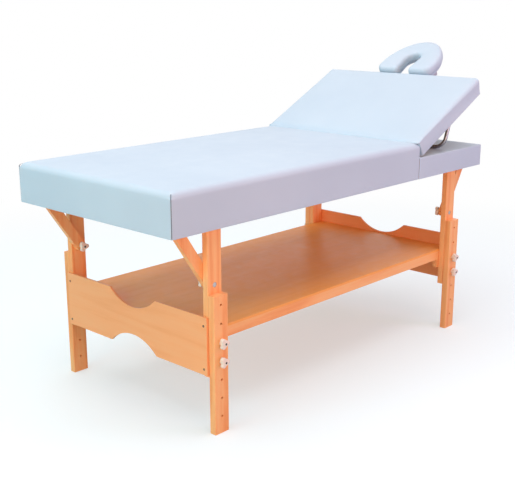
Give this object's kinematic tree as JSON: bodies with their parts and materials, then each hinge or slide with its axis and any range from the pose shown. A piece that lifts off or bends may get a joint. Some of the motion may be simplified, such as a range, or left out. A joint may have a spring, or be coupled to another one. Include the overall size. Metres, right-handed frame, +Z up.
{
  "type": "massage table",
  "caption": "Padded massage table with a tilting backrest propped by a wire bail, a sliding face cradle, a shelf, braces and telescopic wooden legs.",
  "frame": {"origin": "on the floor under the middle of the part's bounding box, with the backrest raised", "axes": "+X to the head end, +Y to the right side, +Z up from the floor"},
  "size_m": [1.9923, 0.8562, 1.2074],
  "materials": {
    "vinyl": "soft satin upholstery vinyl",
    "beech": "satin lacquered beech",
    "plywood": "satin lacquered plywood",
    "knob_plastic": "moulded cream plastic",
    "steel": "zinc plated",
    "bail_tube": "bright plated tube"
  },
  "bodies": {
    "table": {"bail_saddles": "steel", "brace_blocks": "beech", "brace_bolts": "steel", "brace_foot_left": "beech", "brace_foot_right": "beech", "brace_head_left": "beech", "brace_head_right": "beech", "cross_rails": "beech", "deck_foot": "plywood", "deck_head": "plywood", "end_panel_foot": "plywood", "end_panel_head": "plywood", "end_rail_foot": "beech", "end_rail_head": "beech", "foot_cushion": "vinyl", "head_cover": "vinyl", "hinge_base": "steel", "hinge_pins": "steel", "leg_bolts": "steel", "seam_batten": "beech", "shelf_blocks": "beech", "shelf_board": "plywood", "shelf_rail_left": "beech", "shelf_rail_right": "beech", "side_rail_left": "beech", "side_rail_right": "beech", "upper_leg_foot_left": "beech", "upper_leg_foot_right": "beech", "upper_leg_head_left": "beech", "upper_leg_head_right": "beech"},
    "backrest": {"backrest_board": "plywood", "backrest_cushion": "vinyl", "backrest_foot_batten": "beech", "backrest_head_batten": "beech", "backrest_side_batten_left": "beech", "backrest_side_batten_right": "beech", "bail_racks": "beech", "hinge_flap": "steel", "rod_clips": "steel"},
    "bail": {"support_bail": "bail_tube"},
    "cradle": {"cradle_blocks": "beech", "cradle_board": "plywood", "cradle_cushion": "vinyl", "cradle_rods": "steel"},
    "brace_knob_foot_left": {"brace_knob_foot_left": "knob_plastic"},
    "brace_knob_foot_right": {"brace_knob_foot_right": "knob_plastic"},
    "brace_knob_head_left": {"brace_knob_head_left": "knob_plastic"},
    "brace_knob_head_right": {"brace_knob_head_right": "knob_plastic"},
    "leg_knob_foot_left_3": {"leg_knob_foot_left_3": "knob_plastic"},
    "leg_knob_foot_left_4": {"leg_knob_foot_left_4": "knob_plastic"},
    "leg_knob_foot_right_3": {"leg_knob_foot_right_3": "knob_plastic"},
    "leg_knob_foot_right_4": {"leg_knob_foot_right_4": "knob_plastic"},
    "leg_knob_head_left_3": {"leg_knob_head_left_3": "knob_plastic"},
    "leg_knob_head_left_4": {"leg_knob_head_left_4": "knob_plastic"},
    "leg_knob_head_right_3": {"leg_knob_head_right_3": "knob_plastic"},
    "leg_knob_head_right_4": {"leg_knob_head_right_4": "knob_plastic"},
    "lower_leg_foot_left": {"lower_leg_foot_left": "beech"},
    "lower_leg_foot_right": {"lower_leg_foot_right": "beech"},
    "lower_leg_head_left": {"lower_leg_head_left": "beech"},
    "lower_leg_head_right": {"lower_leg_head_right": "beech"}
  },
  "joints": [
    {"name": "backrest_tilt", "type": "hinge", "parent": "table", "child": "backrest", "pos_m": [0.32583, 0, 0.831], "axis": [0, -1, 0], "range_deg": [-27, 0]},
    {"name": "bail_fold", "type": "hinge", "parent": "table", "child": "bail", "pos_m": [0.56933, 0, 0.7983], "axis": [0, -1, 0], "range_deg": [-70, 0]},
    {"name": "cradle_slide", "type": "slide", "parent": "backrest", "child": "cradle", "axis": [0.891, 0, 0.454], "range_m": [0, 0.1]},
    {"name": "brace_knob_turn_foot_left", "type": "hinge", "parent": "table", "child": "brace_knob_foot_left", "pos_m": [-0.79342, -0.3243, 0.513], "axis": [0, 1, 0], "continuous": true},
    {"name": "brace_knob_turn_foot_right", "type": "hinge", "parent": "table", "child": "brace_knob_foot_right", "pos_m": [-0.79342, 0.3243, 0.513], "axis": [0, 1, 0], "continuous": true},
    {"name": "brace_knob_turn_head_left", "type": "hinge", "parent": "table", "child": "brace_knob_head_left", "pos_m": [0.61408, -0.3243, 0.513], "axis": [0, 1, 0], "continuous": true},
    {"name": "brace_knob_turn_head_right", "type": "hinge", "parent": "table", "child": "brace_knob_head_right", "pos_m": [0.61408, 0.3243, 0.513], "axis": [0, 1, 0], "continuous": true},
    {"name": "leg_knob_turn_foot_left_3", "type": "hinge", "parent": "table", "child": "leg_knob_foot_left_3", "pos_m": [-0.79342, -0.4163, 0.256], "axis": [0, 1, 0], "continuous": true},
    {"name": "leg_knob_turn_foot_left_4", "type": "hinge", "parent": "table", "child": "leg_knob_foot_left_4", "pos_m": [-0.79342, -0.4163, 0.321], "axis": [0, 1, 0], "continuous": true},
    {"name": "leg_knob_turn_foot_right_3", "type": "hinge", "parent": "table", "child": "leg_knob_foot_right_3", "pos_m": [-0.79342, 0.4163, 0.256], "axis": [0, 1, 0], "continuous": true},
    {"name": "leg_knob_turn_foot_right_4", "type": "hinge", "parent": "table", "child": "leg_knob_foot_right_4", "pos_m": [-0.79342, 0.4163, 0.321], "axis": [0, 1, 0], "continuous": true},
    {"name": "leg_knob_turn_head_left_3", "type": "hinge", "parent": "table", "child": "leg_knob_head_left_3", "pos_m": [0.61408, -0.4163, 0.256], "axis": [0, 1, 0], "continuous": true},
    {"name": "leg_knob_turn_head_left_4", "type": "hinge", "parent": "table", "child": "leg_knob_head_left_4", "pos_m": [0.61408, -0.4163, 0.321], "axis": [0, 1, 0], "continuous": true},
    {"name": "leg_knob_turn_head_right_3", "type": "hinge", "parent": "table", "child": "leg_knob_head_right_3", "pos_m": [0.61408, 0.4163, 0.256], "axis": [0, 1, 0], "continuous": true},
    {"name": "leg_knob_turn_head_right_4", "type": "hinge", "parent": "table", "child": "leg_knob_head_right_4", "pos_m": [0.61408, 0.4163, 0.321], "axis": [0, 1, 0], "continuous": true},
    {"name": "height_foot_left", "type": "slide", "parent": "table", "child": "lower_leg_foot_left", "axis": [0, 0, 1], "range_m": [-0.13, 0.195]},
    {"name": "height_foot_right", "type": "slide", "parent": "table", "child": "lower_leg_foot_right", "axis": [0, 0, 1], "range_m": [-0.13, 0.195]},
    {"name": "height_head_left", "type": "slide", "parent": "table", "child": "lower_leg_head_left", "axis": [0, 0, 1], "range_m": [-0.13, 0.195]},
    {"name": "height_head_right", "type": "slide", "parent": "table", "child": "lower_leg_head_right", "axis": [0, 0, 1], "range_m": [-0.13, 0.195]}
  ],
  "couplings": [
    {"joint": "bail_fold", "follows": "backrest_tilt", "ratio": 2.5925}
  ]
}
